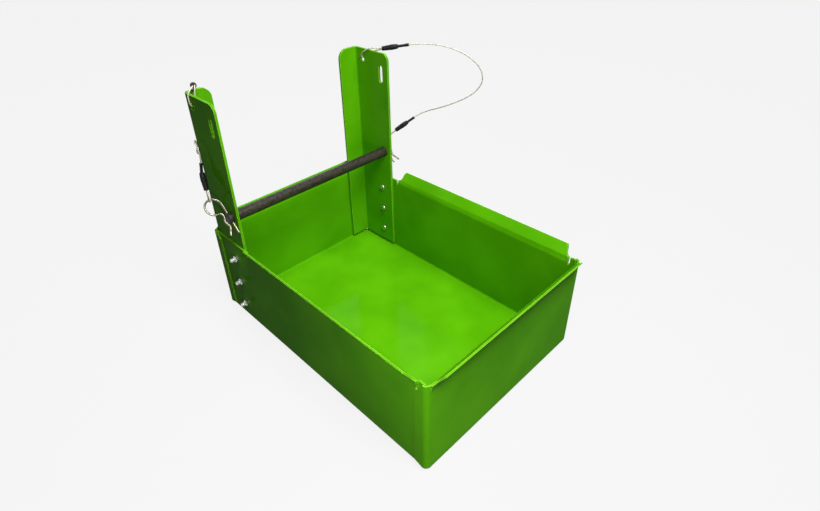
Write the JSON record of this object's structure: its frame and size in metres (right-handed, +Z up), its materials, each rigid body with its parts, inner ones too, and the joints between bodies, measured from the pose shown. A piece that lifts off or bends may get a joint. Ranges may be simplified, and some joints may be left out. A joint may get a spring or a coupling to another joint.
{
  "type": "jerry can holder",
  "caption": "Open-top folded steel tray with two slotted posts, a lock rod and tethered hairpin clips, holding a fuel can.",
  "frame": {"origin": "centre of the tray's underside, which stands on or bolts to the carrier", "axes": "+X from the posts to the open front, +Y across to the far side, +Z up"},
  "size_m": [0.4703, 0.3814, 0.3185],
  "materials": {
    "powder_coat": "gloss",
    "rod_steel": "satin",
    "clip_wire": "satin",
    "zinc_plate": "satin",
    "wire_rope": "satin",
    "sleeve": "matte"
  },
  "bodies": {
    "holder": {"tray_body": "powder_coat", "near_post": "powder_coat", "far_post": "powder_coat", "lock_rod": "rod_steel", "near_screw_1": "zinc_plate", "near_nut_1": "zinc_plate", "near_screw_2": "zinc_plate", "near_nut_2": "zinc_plate", "near_screw_3": "zinc_plate", "near_nut_3": "zinc_plate", "near_post_loop": "wire_rope", "near_post_crimp": "sleeve", "near_post_boot": "sleeve", "near_cable": "wire_rope", "far_screw_1": "zinc_plate", "far_nut_1": "zinc_plate", "far_screw_2": "zinc_plate", "far_nut_2": "zinc_plate", "far_screw_3": "zinc_plate", "far_nut_3": "zinc_plate", "far_post_loop": "wire_rope", "far_post_crimp": "sleeve", "far_post_boot": "sleeve", "far_cable": "wire_rope"},
    "near_clip_set": {"near_clip": "clip_wire", "near_clip_boot": "sleeve", "near_clip_crimp": "sleeve", "near_clip_loop": "wire_rope"},
    "far_clip_set": {"far_clip": "clip_wire", "far_clip_boot": "sleeve", "far_clip_crimp": "sleeve", "far_clip_loop": "wire_rope"}
  },
  "joints": [
    {"name": "near_clip_pull", "type": "slide", "parent": "holder", "child": "near_clip_set", "axis": [-0.7547, 0, 0.6561], "range_m": [0, 0.032]},
    {"name": "far_clip_pull", "type": "slide", "parent": "holder", "child": "far_clip_set", "axis": [-0.7547, 0, 0.6561], "range_m": [0, 0.032]}
  ]
}
